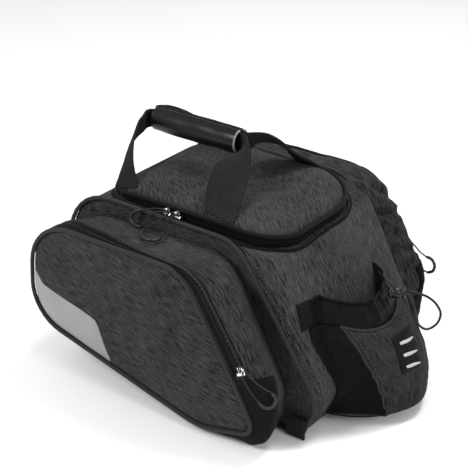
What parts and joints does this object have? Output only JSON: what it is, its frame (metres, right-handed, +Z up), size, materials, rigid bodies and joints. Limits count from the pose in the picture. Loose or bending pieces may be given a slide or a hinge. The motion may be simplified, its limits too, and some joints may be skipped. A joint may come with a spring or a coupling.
{
  "type": "bicycle rear rack bag",
  "caption": "Soft bag for a bicycle's rear carrier: padded trunk with a domed zipped lid and carry handle, expanding side pockets and a net-sided bottle pocket at the rear.",
  "frame": {"origin": "centre of the trunk's underside, on the plane that the bag stands on", "axes": "+X towards the bag's rear end with the bottle pocket, +Y towards its far side, +Z up"},
  "size_m": [0.3913, 0.329, 0.2701],
  "materials": {
    "heather": "heather woven polyester, matt",
    "panel": "darker heather woven polyester, matt",
    "twill": "dark plain twill, matt",
    "webbing": "woven nylon webbing, matt",
    "piping": "cloth-covered piping, slight sheen",
    "tape": "zipper tape and thin nylon, matt",
    "leather": "smooth leather-like cover, satin",
    "net": "knitted net, matt",
    "reflective": "bare grey reflective cloth, satin",
    "rubber": "moulded rubber, satin",
    "metal": "polished nickel-plated zinc",
    "cord": "braided cord, matt"
  },
  "bodies": {
    "root": {"base_panel": "twill", "trunk_shell": "heather", "lid": "heather", "lid_piping": "piping", "lid_zipper": "tape", "seam_piping_near": "piping", "pocket_near": "panel", "pocket_piping_near": "piping", "pocket_zipper_near": "tape", "pocket_corner_near": "twill", "pocket_band_near": "twill", "reflective_near": "reflective", "strap_near": "webbing", "bottle_net_near": "net", "rack_strap_near": "webbing", "slider_pocket_near": "metal", "seam_piping_far": "piping", "pocket_far": "panel", "pocket_piping_far": "piping", "pocket_zipper_far": "tape", "pocket_corner_far": "twill", "pocket_band_far": "twill", "reflective_far": "reflective", "strap_far": "webbing", "bottle_net_far": "net", "rack_strap_far": "webbing", "slider_pocket_far": "metal", "handle_wrap": "leather", "bottle_front": "heather", "bottle_collar": "tape", "slit_patch": "rubber", "collar_tab": "twill", "cord_lock": "rubber", "shock_cord": "cord", "slider_lid_front": "metal", "slider_lid_rear": "metal", "pull_cord_lid_front": "cord", "pull_tube_lid_front": "cord", "pull_cord_lid_rear": "cord", "pull_tube_lid_rear": "cord", "pull_cord_pocket_near": "cord", "pull_tube_pocket_near": "cord", "pull_cord_pocket_far": "cord", "pull_tube_pocket_far": "cord"}
  },
  "joints": []
}
